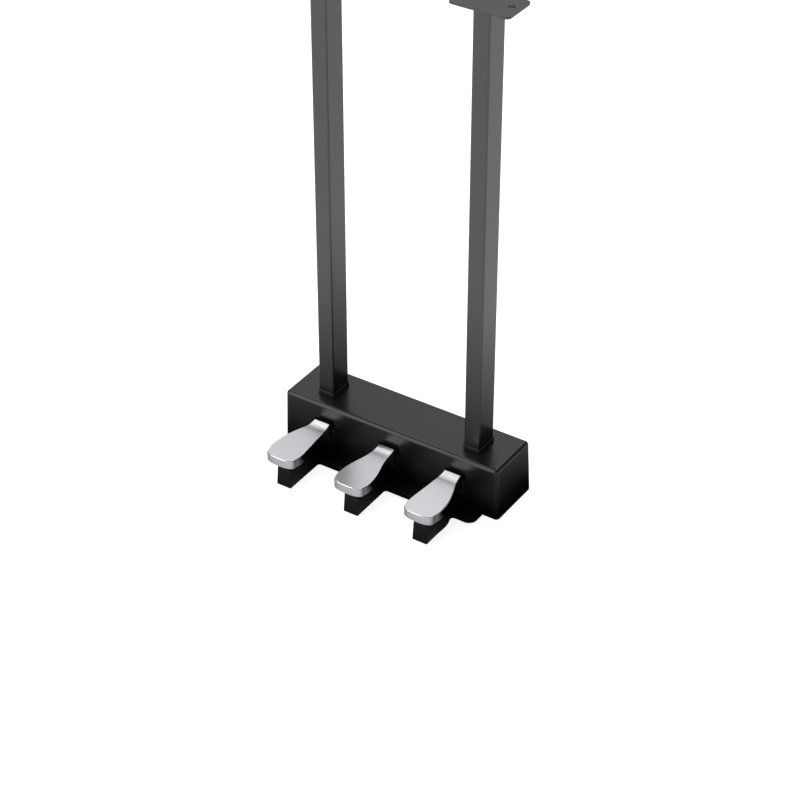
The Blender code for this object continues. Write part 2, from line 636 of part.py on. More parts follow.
# ---- the rail, the board and the socket ----
def make_rail():
    inner, flange = RAIL_X - RAIL_SHEET, RAIL_X - RAIL_FLANGE
    low, top = PLATE_Z + GAP, RAIL_TOP_Z
    half = [(RAIL_X, top), (RAIL_X, low), (flange, low), (flange, low + RAIL_SHEET),
            (inner, low + RAIL_SHEET), (inner, top - RAIL_SHEET)]
    outline = half + [(-x, z) for x, z in half[::-1]]
    bm = bmesh.new()
    put_prism(bm, outline, -RAIL_BACK_Y, -RAIL_FRONT_Y)
    bmesh.ops.rotate(bm, cent=(0, 0, 0), matrix=Matrix.Rotation(math.pi / 2, 3, "X"), verts=bm.verts)
    rail = finish("chassis_rail", bm, "zinc")
    bm = bmesh.new()
    for sign in (-1, 1):
        put_rod(bm, (sign * POST_X, POST_Y, top - RAIL_SHEET - 1), BOLT_R + GAP, RAIL_SHEET + 2)
        put_rod(bm, (sign * RAIL_SCREW_X, RAIL_SCREW_Y, PLATE_Z), SCREW_R + GAP, RAIL_SHEET + 1)
    cut(rail, bm)
    for name, sign in (("left", -1), ("right", 1)):
        down_screw("rail_screw_" + name, sign * RAIL_SCREW_X, RAIL_SCREW_Y, low + RAIL_SHEET)


def make_electrics():
    bm = bmesh.new()
    put_box(bm, (-BOARD_X, BOARD_FRONT_Y, BOARD_Z), (BOARD_X, BOARD_BACK_Y, BOARD_Z + BOARD_THICK))
    finish("circuit_board", bm, "board_green")

    bm = bmesh.new()
    put_box(bm, (SOCKET_X - SOCKET_HALF, SOCKET_FRONT_Y, SOCKET_Z - SOCKET_HALF),
            (SOCKET_X + SOCKET_HALF, SOCKET_BACK_Y, SOCKET_Z + SOCKET_HALF))
    socket = finish("cable_socket", bm, "sensor_black", (SOCKET_X, SOCKET_BACK_Y, SOCKET_Z))
    bm = bmesh.new()
    put_rod(bm, (SOCKET_X, SOCKET_BACK_Y - 1, SOCKET_Z), SOCKET_BARREL_R,
            SOCKET_FACE_Y - SOCKET_BACK_Y + 1, "y", ROUND_SIDES)
    add(socket, bm)
    bm = bmesh.new()
    put_rod(bm, (SOCKET_X, SOCKET_FACE_Y - SOCKET_BORE, SOCKET_Z), SOCKET_BORE_R, OVER + 1, "y")
    cut(socket, bm)

    start = Vector((SOCKET_X, BOARD_BACK_Y - 2 * HARNESS_R, BOARD_Z + BOARD_THICK + GAP))
    end = Vector((SOCKET_X, SOCKET_FRONT_Y - GAP, SOCKET_Z))
    path = bpy.data.curves.new("wire_harness", "CURVE")
    path.dimensions = "3D"
    path.resolution_u = 6
    line = path.splines.new("BEZIER")
    line.bezier_points.add(1)
    pull = (SOCKET_Z - BOARD_Z) / 2
    for point, spot, way in zip(line.bezier_points, (start, end), ((0, 0, pull), (0, pull, 0))):
        spot = spot - start
        point.co = spot * MM
        point.handle_right = (spot + Vector(way)) * MM
        point.handle_left = (spot - Vector(way)) * MM
    path.bevel_depth = HARNESS_R * MM
    path.bevel_resolution = 1
    path.use_fill_caps = True
    path.materials.append(looks["wire_grey"])
    link("wire_harness", path, start, None)


# ---- the posts ----
def make_post(name, sign):
    x = sign * POST_X
    bottom = RAIL_TOP_Z + GAP

    def around(room, z0, z1, radius, segments=2):
        return round_box((x - POST_WIDE - room, POST_Y - POST_DEEP - room, z0),
                         (x + POST_WIDE + room, POST_Y + POST_DEEP + room, z1), radius, segments)

    base, head = (x, POST_Y, bottom), (x, POST_Y, POST_TOP_Z)
    post = finish("post_" + name, around(0, bottom, POST_TOP_Z, POST_ROUND, 3), "post_grey", base)
    inner_round = POST_ROUND - POST_WALL
    cut(post, around(-POST_WALL, bottom - 1, POST_TOP_Z + 1, inner_round, 1))
    screw_z = POST_TOP_Z - TOP_SCREW_DROP
    back = POST_Y + POST_DEEP
    bm = bmesh.new()
    put_rod(bm, (x, back - 2 * POST_WALL, screw_z), TOP_SCREW_R + GAP, OVER, "y")
    cut(post, bm)

    fit = -POST_WALL - GAP
    plug = finish("post_plug_" + name, around(fit, bottom, bottom + PLUG_HIGH, inner_round, 1),
                  "zinc", base)
    bm = bmesh.new()
    put_rod(bm, (x, POST_Y, bottom - 1), BOLT_R + GAP, BOLT_REACH + 1)
    cut(plug, bm)
    headed("post_bolt_" + name, (x, POST_Y, RAIL_TOP_Z - RAIL_SHEET - GAP), BOLT_R, BOLT_REACH,
           BOLT_HEAD_R, BOLT_HEAD)

    low = SHELL_TOP_Z + GAP
    room = GAP + COLLAR_WALL
    collar = finish("post_collar_" + name, around(room, low, low + COLLAR_HIGH, POST_ROUND + 1),
                    "arm_black", (x, POST_Y, low))
    cut(collar, around(GAP, low - 1, low + COLLAR_HIGH + 1, POST_ROUND))

    seat = POST_TOP_Z + GAP
    bm = round_box((x - FLANGE_HALF_X, POST_Y - FLANGE_HALF_Y, seat),
                   (x + FLANGE_HALF_X, POST_Y + FLANGE_HALF_Y, seat + FLANGE_THICK), FLANGE_ROUND)
    flange = finish("top_flange_" + name, bm, "post_grey", head)
    add(flange, around(fit, POST_TOP_Z - PEG_HIGH, seat + 1, inner_round, 1))
    bm = bmesh.new()
    for way in (-1, 1):
        put_rod(bm, (x + way * FLANGE_HOLE_X, POST_Y, seat - 1), FLANGE_HOLE_R, FLANGE_THICK + 2)
    put_rod(bm, (x, back - TOP_SCREW_REACH - GAP, screw_z), TOP_SCREW_R + GAP, OVER, "y")
    cut(flange, bm)
    profile = [(0, -TOP_SCREW_REACH), (TOP_SCREW_R, -TOP_SCREW_REACH), (TOP_SCREW_R, 0),
               (TOP_SCREW_HEAD_R, 0), (TOP_SCREW_HEAD_R, SCREW_HEAD), (0, SCREW_HEAD)]
    centre = (x, back + GAP, screw_z)
    finish("top_screw_" + name, lathe(profile, centre, "y"), "zinc", centre)


def make_cover_screws():
    for number, (x, y) in enumerate(BOSSES, 1):
        headed("cover_screw_%d" % number, (x, y, FOOT_PROUD + SCREW_HEAD), SCREW_R,
               PLATE_Z + COVER_SCREW_REACH - FOOT_PROUD - SCREW_HEAD,
               COVER_SCREW_HEAD_R, SCREW_HEAD - GAP)


BOSSES = [(x, y) for x in (-BOSS_X, BOSS_X) for y in (BOSS_FRONT_Y, BOSS_BACK_Y)]

for old in list(bpy.data.objects):
    bpy.data.objects.remove(old)
looks = {name: material(name, *look) for name, look in LOOKS.items()}
make_cover()
make_base()
make_cover_screws()
for pedal_name, pedal_side in SIDES.items():
    make_pedal(pedal_name, pedal_side)
make_rail()
make_electrics()
make_post("left", -1)
make_post("right", 1)
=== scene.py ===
"""A three-pedal lyre for a digital piano: moulded cover and base, chrome pedals, steel posts."""

import math

import bmesh
import bpy
import numpy as np
from mathutils import Matrix, Vector


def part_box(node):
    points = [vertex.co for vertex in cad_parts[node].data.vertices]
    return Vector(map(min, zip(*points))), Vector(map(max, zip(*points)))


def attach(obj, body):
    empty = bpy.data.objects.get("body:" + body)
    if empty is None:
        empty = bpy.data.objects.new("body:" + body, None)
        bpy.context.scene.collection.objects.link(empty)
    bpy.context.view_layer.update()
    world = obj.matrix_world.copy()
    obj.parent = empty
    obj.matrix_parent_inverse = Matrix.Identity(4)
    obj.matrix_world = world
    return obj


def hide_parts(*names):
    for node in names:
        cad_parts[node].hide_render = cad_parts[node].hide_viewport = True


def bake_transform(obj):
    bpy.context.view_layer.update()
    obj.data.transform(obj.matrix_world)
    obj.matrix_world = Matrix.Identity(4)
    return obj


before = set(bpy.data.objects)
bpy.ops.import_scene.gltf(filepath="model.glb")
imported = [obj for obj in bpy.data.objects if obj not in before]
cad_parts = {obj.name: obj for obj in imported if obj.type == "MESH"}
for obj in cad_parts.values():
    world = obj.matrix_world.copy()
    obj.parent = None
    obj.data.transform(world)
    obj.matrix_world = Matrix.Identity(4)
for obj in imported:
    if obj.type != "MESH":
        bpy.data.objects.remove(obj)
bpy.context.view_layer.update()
MM = 0.001
SIDES = {"left": -1, "middle": 0, "right": 1}


# ---------------------------------------------------------------- shaping helpers, in millimetres
def box(node):
    low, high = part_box(node)
    return low / MM, high / MM


def block(low, high):
    """A closed block between two corners."""
    bm = bmesh.new()
    size = Vector(high) - Vector(low)
    centre = (Vector(high) + Vector(low)) / 2
    bmesh.ops.create_cube(bm, size=1.0, matrix=Matrix.Translation(centre) @ Matrix.Diagonal((*size, 1.0)))
    return bm


def round_off(bm, radius, segments, wanted):
    """Round the edges that wanted(edge, middle, direction) picks."""
    chosen = []
    for edge in bm.edges:
        a, b = edge.verts[0].co, edge.verts[1].co
        if (b - a).length > 1e-6 and wanted(edge, (a + b) / 2, (b - a).normalized()):
            chosen.append(edge)
    bmesh.ops.bevel(bm, geom=chosen, offset=radius, offset_type="OFFSET", segments=segments, profile=0.5,
                    affect="EDGES", clamp_overlap=True, material=-1)
    return bm


def upright(edge, middle, way):
    return abs(way.z) > 0.9


def crisp(angle=40):
    """Picks every edge where two faces meet more sharply than angle."""
    least = math.radians(angle)
    return lambda edge, middle, way: len(edge.link_faces) == 2 and edge.calc_face_angle(0) > least


def rim_at(level, reach=0.05):
    """Picks the edges that lie at one height."""
    return lambda edge, middle, way: all(abs(v.co.z - level) < reach for v in edge.verts)


def raise_outline(points, bottom, top):
    """A closed slab from a plan outline."""
    bm = bmesh.new()
    face = bm.faces.new([bm.verts.new((x, y, bottom)) for x, y in points])
    lifted = bmesh.ops.extrude_face_region(bm, geom=[face])["geom"]
    verts = [g for g in lifted if isinstance(g, bmesh.types.BMVert)]
    bmesh.ops.translate(bm, vec=(0, 0, top - bottom), verts=verts)
    bmesh.ops.recalc_face_normals(bm, faces=bm.faces)
    return bm


TURNS = {
    "+z": Matrix.Identity(4),
    "-z": Matrix.Rotation(math.pi, 4, "X"),
    "+x": Matrix.Rotation(math.pi / 2, 4, "Y"),
    "+y": Matrix.Rotation(-math.pi / 2, 4, "X"),
}


def turned(profile, centre, way="+z", steps=48):
    """Spin (radius, height) points about an axis through centre."""
    bm = bmesh.new()
    verts = [bm.verts.new((r, 0, h)) for r, h in profile]
    edges = [bm.edges.new(pair) for pair in zip(verts, verts[1:])]
    bmesh.ops.spin(bm, geom=verts + edges, cent=(0, 0, 0), axis=(0, 0, 1), angle=2 * math.pi, steps=steps,
                   use_merge=True, use_duplicate=False)
    bmesh.ops.remove_doubles(bm, verts=bm.verts, dist=0.001)
    bmesh.ops.recalc_face_normals(bm, faces=bm.faces)
    bmesh.ops.transform(bm, matrix=Matrix.Translation(centre) @ TURNS[way], verts=bm.verts)
    return bm


def rod(centre, radius, length, way="+z", steps=32):
    return turned([(0, 0), (radius, 0), (radius, length), (0, length)], centre, way, steps)


def together(*shapes):
    """Several separate shapes in one."""
    bm = bmesh.new()
    for shape in shapes:
        mesh = bpy.data.meshes.new("blank")
        shape.to_mesh(mesh)
        shape.free()
        bm.from_mesh(mesh)
        bpy.data.meshes.remove(mesh)
    return bm


def work(bm, other, operation):
    """Cut other out of bm, or join it on."""
    pair = []
    for shape in (bm, other):
        mesh = bpy.data.meshes.new("blank")
        shape.to_mesh(mesh)
        shape.free()
        held = bpy.data.objects.new("blank", mesh)
        bpy.context.scene.collection.objects.link(held)
        pair.append(held)
    step = pair[0].modifiers.new("step", "BOOLEAN")
    step.operation = operation
    step.solver = "EXACT"
    step.use_self = True
    step.object = pair[1]
    bpy.context.view_layer.update()
    made = bmesh.new()
    made.from_object(pair[0], bpy.context.evaluated_depsgraph_get())
    for held in pair:
        mesh = held.data
        bpy.data.objects.remove(held)
        bpy.data.meshes.remove(mesh)
    bmesh.ops.remove_doubles(made, verts=made.verts, dist=0.001)
    return made


def cut(bm, *others):
    return work(bm, together(*others), "DIFFERENCE")


def join(bm, *others):
    return work(bm, together(*others), "UNION")


def piece(name, bm, look, body, *stands_for, slot=None, sharp=38):
    """Turn a shape in millimetres into a shown piece that rides on a body, or on none yet."""
    bmesh.ops.scale(bm, vec=(MM, MM, MM), verts=bm.verts)
    mesh = bpy.data.meshes.new(name)
    bm.to_mesh(mesh)
    bm.free()
    mesh.materials.append(look)
    mesh.shade_smooth()
    mesh.set_sharp_from_angle(angle=math.radians(sharp))
    made = bpy.data.objects.new(name, mesh)
    bpy.context.scene.collection.objects.link(made)
    even = made.modifiers.new("even_shading", "WEIGHTED_NORMAL")
    even.keep_sharp = True
    even.weight = 60
    if body:
        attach(made, body)
    if stands_for:
        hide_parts(*stands_for)
    return made


# ---------------------------------------------------------------- finishes
def new_group(name, inputs, outputs):
    tree = bpy.data.node_groups.new(name, "ShaderNodeTree")
    for label, value in inputs:
        socket = tree.interface.new_socket(label, in_out="INPUT", socket_type="NodeSocketFloat")
        socket.default_value = value
    for label in outputs:
        tree.interface.new_socket(label, in_out="OUTPUT", socket_type="NodeSocketFloat")
    return tree, tree.nodes.new("NodeGroupInput"), tree.nodes.new("NodeGroupOutput")


def math_node(tree, operation, first, second=None, clamp=False):
    node = tree.nodes.new("ShaderNodeMath")
    node.operation = operation
    node.use_clamp = clamp
    for socket, value in zip(node.inputs, (first, second)):
        if isinstance(value, bpy.types.NodeSocket):
            tree.links.new(value, socket)
        elif value is not None:
            socket.default_value = value
    return node.outputs[0]


def noise(tree, place, scale, detail=3.0, rough=0.5):
    node = tree.nodes.new("ShaderNodeTexNoise")
    node.inputs["Scale"].default_value = scale
    node.inputs["Detail"].default_value = detail
    node.inputs["Roughness"].default_value = rough
    tree.links.new(place, node.inputs["Vector"])
    return node.outputs["Fac"]


def spread(tree, value, low, high):
    """Stretch low..high of a value over 0..1."""
    node = tree.nodes.new("ShaderNodeMapRange")
    node.clamp = True
    node.inputs["From Min"].default_value = low
    node.inputs["From Max"].default_value = high
    tree.links.new(value, node.inputs["Value"])
    return node.outputs["Result"]


def stretched(tree, scale):
    coords = tree.nodes.new("ShaderNodeTexCoord")
    mapping = tree.nodes.new("ShaderNodeMapping")
    mapping.inputs["Scale"].default_value = scale
    tree.links.new(coords.outputs["Object"], mapping.inputs["Vector"])
    return mapping.outputs["Vector"]


def make_mould_grain():
    """The fine pebbled texture that a mould leaves on plastic, with faint flow mottling."""
    tree, inp, out = new_group("mould_grain", [("Depth", 1.0)], ["Height", "Mottle"])
    place = stretched(tree, (1, 1, 1))
    pebble = tree.nodes.new("ShaderNodeTexVoronoi")
    pebble.feature = "SMOOTH_F1"
    pebble.inputs["Scale"].default_value = 1900.0
    pebble.inputs["Smoothness"].default_value = 0.6
    tree.links.new(place, pebble.inputs["Vector"])
    fine = noise(tree, place, 4200.0, 2.0)
    both = math_node(tree, "ADD", math_node(tree, "MULTIPLY", pebble.outputs["Distance"], 0.7),
                     math_node(tree, "MULTIPLY", fine, 0.3))
    tree.links.new(math_node(tree, "MULTIPLY", both, inp.outputs["Depth"]), out.inputs["Height"])
    broad = noise(tree, place, 22.0, 4.0, 0.6)
    tree.links.new(spread(tree, broad, 0.3, 0.7), out.inputs["Mottle"])
    return tree


def make_orange_peel():
    """The soft ripple of baked powder paint."""
    tree, inp, out = new_group("orange_peel", [("Depth", 1.0)], ["Height", "Mottle"])
    place = stretched(tree, (1, 1, 1))
    ripple = noise(tree, place, 520.0, 2.0, 0.4)
    speck = noise(tree, place, 2600.0, 2.0, 0.5)
    both = math_node(tree, "ADD", math_node(tree, "MULTIPLY", ripple, 0.8),
                     math_node(tree, "MULTIPLY", speck, 0.2))
    tree.links.new(math_node(tree, "MULTIPLY", both, inp.outputs["Depth"]), out.inputs["Height"])
    tree.links.new(spread(tree, noise(tree, place, 35.0, 3.0), 0.35, 0.65), out.inputs["Mottle"])
    return tree


def make_settled_dust():
    """Thin dust on faces that look upwards, thicker here and thinner there."""
    tree, inp, out = new_group("settled_dust", [("Amount", 0.1)], ["Mask"])
    place = stretched(tree, (1, 1, 1))
    facing = tree.nodes.new("ShaderNodeNewGeometry")
    split = tree.nodes.new("ShaderNodeSeparateXYZ")
    tree.links.new(facing.outputs["Normal"], split.inputs["Vector"])
    up = spread(tree, split.outputs["Z"], 0.6, 1.0)
    cloud = spread(tree, noise(tree, place, 18.0, 5.0, 0.65), 0.35, 0.75)
    fleck = spread(tree, noise(tree, place, 900.0, 2.0, 0.6), 0.62, 0.7)
    body = math_node(tree, "ADD", math_node(tree, "MULTIPLY", cloud, 0.5), math_node(tree, "MULTIPLY", fleck, 0.5))
    mask = math_node(tree, "MULTIPLY", math_node(tree, "MULTIPLY", body, up), inp.outputs["Amount"], clamp=True)
    tree.links.new(mask, out.inputs["Mask"])
    return tree


def make_rub_marks():
    """Wiping smears and hairline scratches that run mostly along the pedals."""
    tree, inp, out = new_group("rub_marks", [("Smear", 0.05), ("Scratch", 0.2)], ["Dull", "Height"])
    smear = spread(tree, noise(tree, stretched(tree, (60, 24, 60)), 1.0, 4.0, 0.6), 0.35, 0.7)
    lines = spread(tree, noise(tree, stretched(tree, (2600, 90, 2600)), 1.0, 3.0, 0.6), 0.66, 0.78)
    cross = spread(tree, noise(tree, stretched(tree, (140, 1900, 1900)), 1.0, 3.0, 0.6), 0.7, 0.8)
    hair = math_node(tree, "MAXIMUM", lines, cross)
    dull = math_node(tree, "ADD", math_node(tree, "MULTIPLY", smear, inp.outputs["Smear"]),
                     math_node(tree, "MULTIPLY", hair, math_node(tree, "MULTIPLY", inp.outputs["Scratch"], 0.3)))
    tree.links.new(dull, out.inputs["Dull"])
    tree.links.new(math_node(tree, "MULTIPLY", hair, inp.outputs["Scratch"]), out.inputs["Height"])
    return tree


GRAIN = make_mould_grain()
PEEL = make_orange_peel()
DUST = make_settled_dust()
RUBS = make_rub_marks()


class Finish:
    """One material: a Principled shader and the few steps that feed it."""

    def __init__(self, name, metallic=0.0, specular=0.5):
        self.material = bpy.data.materials.new(name)
        self.material.use_nodes = True
        self.tree = self.material.node_tree
        self.shader = self.tree.nodes["Principled BSDF"]
        self.shader.inputs["Metallic"].default_value = metallic
        self.shader.inputs["Specular IOR Level"].default_value = specular

    def effect(self, group, **values):
        node = self.tree.nodes.new("ShaderNodeGroup")
        node.node_tree = group
        for label, value in values.items():
            node.inputs[label].default_value = value
        return node.outputs

    def colour(self, factor, first, second):
        """Base colour between two colours."""
        mix = self.tree.nodes.new("ShaderNodeMix")
        mix.data_type = "RGBA"
        self.tree.links.new(factor, mix.inputs[0])
        for socket, value in ((mix.inputs[6], first), (mix.inputs[7], second)):
            if isinstance(value, bpy.types.NodeSocket):
                self.tree.links.new(value, socket)
            else:
                socket.default_value = (*value, 1.0)
        self.tree.links.new(mix.outputs[2], self.shader.inputs["Base Color"])
        return mix.outputs[2]

    def roughness(self, value, swing, base):
        moved = math_node(self.tree, "MULTIPLY", value, swing)
        self.tree.links.new(math_node(self.tree, "ADD", moved, base, clamp=True), self.shader.inputs["Roughness"])

    def relief(self, height, distance):
        bump = self.tree.nodes.new("ShaderNodeBump")
        bump.inputs["Distance"].default_value = distance * MM
        bump.inputs["Strength"].default_value = 1.0
        self.tree.links.new(height, bump.inputs["Height"])
        self.tree.links.new(bump.outputs["Normal"], self.shader.inputs["Normal"])
        return self.material


def moulded(name, dark, light, rough, grain, dust, specular=0.5):
    """Textured injection-moulded plastic."""
    look = Finish(name, specular=specular)
    texture = look.effect(GRAIN, Depth=1.0)
    film = look.effect(DUST, Amount=dust)
    marks = look.effect(RUBS, Smear=0.06, Scratch=0.05)
    body = look.colour(texture["Mottle"], dark, light)
    look.colour(film["Mask"], body, (0.30, 0.29, 0.27))
    uneven = math_node(look.tree, "ADD", math_node(look.tree, "MULTIPLY", texture["Mottle"], 0.04), marks["Dull"])
    half_film = math_node(look.tree, "MULTIPLY", film["Mask"], 0.5)
    look.roughness(math_node(look.tree, "ADD", uneven, half_film), 1.0, rough)
    return look.relief(texture["Height"], grain)


def painted(name, dark, light, rough, peel, dust):
    """Powder paint on steel."""
    look = Finish(name)
    texture = look.effect(PEEL, Depth=1.0)
    film = look.effect(DUST, Amount=dust)
    body = look.colour(texture["Mottle"], dark, light)
    look.colour(film["Mask"], body, (0.30, 0.29, 0.27))
    look.roughness(math_node(look.tree, "ADD", texture["Mottle"], film["Mask"]), 0.06, rough)
    return look.relief(texture["Height"], peel)


def plated(name, deep, bright, rough, smear, scratch, top_dull=0.0):
    """Plated metal, its tread dulled a little by shoes."""
    look = Finish(name, metallic=1.0)
    marks = look.effect(RUBS, Smear=smear, Scratch=scratch)
    tread = look.effect(DUST, Amount=0.06)
    look.colour(marks["Dull"], bright, deep)
    facing = look.tree.nodes.new("ShaderNodeNewGeometry")
    split = look.tree.nodes.new("ShaderNodeSeparateXYZ")
    look.tree.links.new(facing.outputs["Normal"], split.inputs["Vector"])
    up = math_node(look.tree, "MULTIPLY", spread(look.tree, split.outputs["Z"], 0.93, 0.995), top_dull)
    total = math_node(look.tree, "ADD", math_node(look.tree, "ADD", marks["Dull"], up), tread["Mask"])
    look.roughness(total, 1.0, rough)
    return look.relief(marks["Height"], 0.0015)


def make_felt():
    look = Finish("felt", specular=0.2)
    place = stretched(look.tree, (1, 1, 1))
    fibre = noise(look.tree, place, 2400.0, 6.0, 0.8)
    cloud = noise(look.tree, place, 160.0, 4.0, 0.6)
    look.colour(spread(look.tree, cloud, 0.3, 0.7), (0.16, 0.018, 0.02), (0.26, 0.035, 0.035))
    look.shader.inputs["Sheen Weight"].default_value = 0.4
    look.roughness(fibre, 0.1, 0.88)
    return look.relief(fibre, 0.25)


def make_board():
    """Green solder mask over copper tracks, with tinned pads."""
    look = Finish("board_green")
    place = stretched(look.tree, (1, 1, 1))
    tracks = look.tree.nodes.new("ShaderNodeTexBrick")
    tracks.inputs["Scale"].default_value = 260.0
    tracks.inputs["Mortar Size"].default_value = 0.07
    look.tree.links.new(place, tracks.inputs["Vector"])
    pads = look.tree.nodes.new("ShaderNodeTexVoronoi")
    pads.inputs["Scale"].default_value = 330.0
    look.tree.links.new(place, pads.inputs["Vector"])
    dots = spread(look.tree, pads.outputs["Distance"], 0.22, 0.18)
    mask = look.colour(tracks.outputs["Fac"], (0.0015, 0.009, 0.004), (0.003, 0.017, 0.008))
    look.colour(dots, mask, (0.6, 0.6, 0.58))
    look.tree.links.new(dots, look.shader.inputs["Metallic"])
    look.roughness(noise(look.tree, place, 400.0), 0.1, 0.35)
    return look.relief(math_node(look.tree, "ADD", tracks.outputs["Fac"], dots), 0.03)


def make_sleeve():
    """Braided grey sleeving."""
    look = Finish("wire_grey", specular=0.3)
    place = stretched(look.tree, (1, 1, 1))
    weave = []
    for way in ("DIAGONAL", "Y"):
        wave = look.tree.nodes.new("ShaderNodeTexWave")
        wave.bands_direction = way
        wave.inputs["Scale"].default_value = 420.0
        look.tree.links.new(place, wave.inputs["Vector"])
        weave.append(wave.outputs["Fac"])
    braid = math_node(look.tree, "MULTIPLY", *weave)
    look.colour(braid, (0.09, 0.09, 0.1), (0.3, 0.3, 0.31))
    look.roughness(braid, -0.15, 0.7)
    return look.relief(braid, 0.2)


LOOKS = {
    "satin_black_cover": moulded("satin_black_cover", (0.0045, 0.0045, 0.0045), (0.0065, 0.0065, 0.0064), 0.25,
                                 0.006, 0.015),
    "black_base": moulded("black_base", (0.003, 0.003, 0.003), (0.0045, 0.0045, 0.0045), 0.36, 0.012, 0.03,
                          specular=0.15),
    "black_plastic": moulded("black_plastic", (0.006, 0.006, 0.006), (0.011, 0.011, 0.011), 0.4, 0.015, 0.03),
    "black_arm": painted("black_arm", (0.005, 0.005, 0.005), (0.008, 0.008, 0.008), 0.42, 0.03, 0.05),
    "painted_tube": painted("painted_tube", (0.0055, 0.0055, 0.0052), (0.0075, 0.0075, 0.0071), 0.2, 0.004, 0.02),
    "chrome": plated("chrome", (0.5, 0.505, 0.53), (0.6, 0.605, 0.63), 0.06, 0.04, 0.06, top_dull=0.2),
    "zinc_steel": plated("zinc_steel", (0.36, 0.35, 0.32), (0.52, 0.52, 0.51), 0.27, 0.16, 0.5),
    "spring_steel": plated("spring_steel", (0.28, 0.28, 0.29), (0.4, 0.4, 0.42), 0.2, 0.1, 0.4),
    "rubber": moulded("rubber", (0.009, 0.009, 0.009), (0.015, 0.015, 0.015), 0.68, 0.03, 0.12, specular=0.3),
    "felt": make_felt(),
    "board_green": make_board(),
    "wire_grey": make_sleeve(),
}


# ---------------------------------------------------------------- the cover
COVER_LOW, COVER_HIGH = box("shell_cover")
FRONT = COVER_LOW.y
TOP = COVER_HIGH.z
BOTTOM = COVER_LOW.z
LEAN_END = 2.0               # how far each end leans out over the height of the cover
LEAN_BACK = 3.0
COVER_WALL = 3.0
COVER_ROUND = 4.5
WINDOW_HALF = 13.4
WINDOW_LOW, WINDOW_HIGH = 13.0, box("pedal_middle")[1].z + 1.4
BASE_LOW, BASE_HIGH = box("base_plate")
PLATE_TOP = 7.0
PLATE_HALF = 123.5
PLATE_FRONT = FRONT - 22.0
PLATE_INNER = 139.4
POSTS = {name: box("post_" + name) for name in ("left", "right")}
COVER_SCREWS = [box("cover_screw_%d" % number) for number in (1, 2, 3, 4)]


def middle_of(node):
    low, high = box(node)
    return (low + high) / 2


def leaning_box(inset, bottom):
    """The cover's outer form, moved in by inset."""
    bm = block((-1, -1, -1), (1, 1, 1))
    for v in bm.verts:
        z = TOP - inset if v.co.z > 0 else bottom
        share = (TOP - z) / (TOP - BOTTOM)
        x = COVER_HIGH.x - LEAN_END * (1 - share) - inset
        back = COVER_HIGH.y - LEAN_BACK * (1 - share) - inset
        v.co = (math.copysign(x, v.co.x), back if v.co.y > 0 else FRONT + inset, z)
    return bm


def make_cover():
    bm = round_off(leaning_box(0, BOTTOM), COVER_ROUND, 8,
                   lambda edge, middle, way: max(v.co.z for v in edge.verts) > BOTTOM + 1)
    hollow = round_off(leaning_box(COVER_WALL, BOTTOM - 8), 1.5, 3,
                       lambda edge, middle, way: max(v.co.z for v in edge.verts) > BOTTOM)
    bm = cut(bm, hollow)
    bosses, bores = [], []
    for low, high in COVER_SCREWS:
        x, y = (low.x + high.x) / 2, (low.y + high.y) / 2
        bosses.append(rod((x, y, PLATE_TOP + 0.6), 3.6, TOP - COVER_WALL / 2 - PLATE_TOP - 0.6))
        bores.append(rod((x, y, 0), 1.8, 18.0, steps=24))
    bm = join(bm, *bosses)
    inside = FRONT + COVER_WALL + 1
    openings = []
    for name in SIDES:
        x = middle_of("arm_" + name).x
        window = block((x - WINDOW_HALF, FRONT - 8, WINDOW_LOW), (x + WINDOW_HALF, inside, WINDOW_HIGH))
        openings.append(round_off(window, 2.5, 6, lambda edge, middle, way: abs(way.y) > 0.9))
    reach = PLATE_HALF + 0.3
    openings.append(block((-reach, FRONT - 8, -8), (reach, inside, PLATE_TOP + 0.3)))
    for low, high in POSTS.values():
        hole = block((low.x - 0.3, low.y - 0.3, TOP - 4), (high.x + 0.3, high.y + 0.3, TOP + 8))
        openings.append(round_off(hole, 2.3, 5, upright))
    socket = middle_of("cable_socket")
    barrel_z = (box("cable_socket")[0].z + box("cable_socket")[1].z) / 2
    openings.append(rod((socket.x, COVER_HIGH.y - 12, barrel_z), 6.3, 20, "+y", 48))
    bm = cut(bm, *openings, *bores)

    def front_rims(edge, middle, way):
        on_front = all(abs(v.co.y - FRONT) < 0.02 for v in edge.verts)
        return on_front and middle.z < WINDOW_HIGH + 1 and crisp(60)(edge, middle, way)

    bm = round_off(bm, 0.5, 3, front_rims)
    piece("cover_moulding", bm, LOOKS["satin_black_cover"], "lyre_frame", "shell_cover", slot="satin_black_cover")


# ---------------------------------------------------------------- the base
TONGUE_TIP = BASE_LOW.y
TONGUE_TOP = BASE_HIGH.z
TONGUE_HALF = 9.5
TONGUE_SWING = 3.4           # outer tongues lean outwards with their pedals
TONGUE_LEAN = 2.4
TONGUE_SIDE = [(24.5, 10.2), (31, 12.2), (37, 13.4), (43, 13.6), (50, 13.2), (60, 12.9)]


def smooth_side(knots, count):
    """Points along a smooth curve through (distance, width) knots."""
    d = np.array([k[0] for k in knots], float)
    w = np.array([k[1] for k in knots], float)
    slope = np.gradient(w, d)
    out = []
    for s in np.linspace(d[0], d[-1], count):
        i = min(int(np.searchsorted(d, s, side="right")) - 1, len(d) - 2)
        h = d[i + 1] - d[i]
        t = (s - d[i]) / h
        out.append((s, (2 * t ** 3 - 3 * t ** 2 + 1) * w[i] + (t ** 3 - 2 * t ** 2 + t) * h * slope[i]
                    + (3 * t ** 2 - 2 * t ** 3) * w[i + 1] + (t ** 3 - t ** 2) * h * slope[i + 1]))
    return out


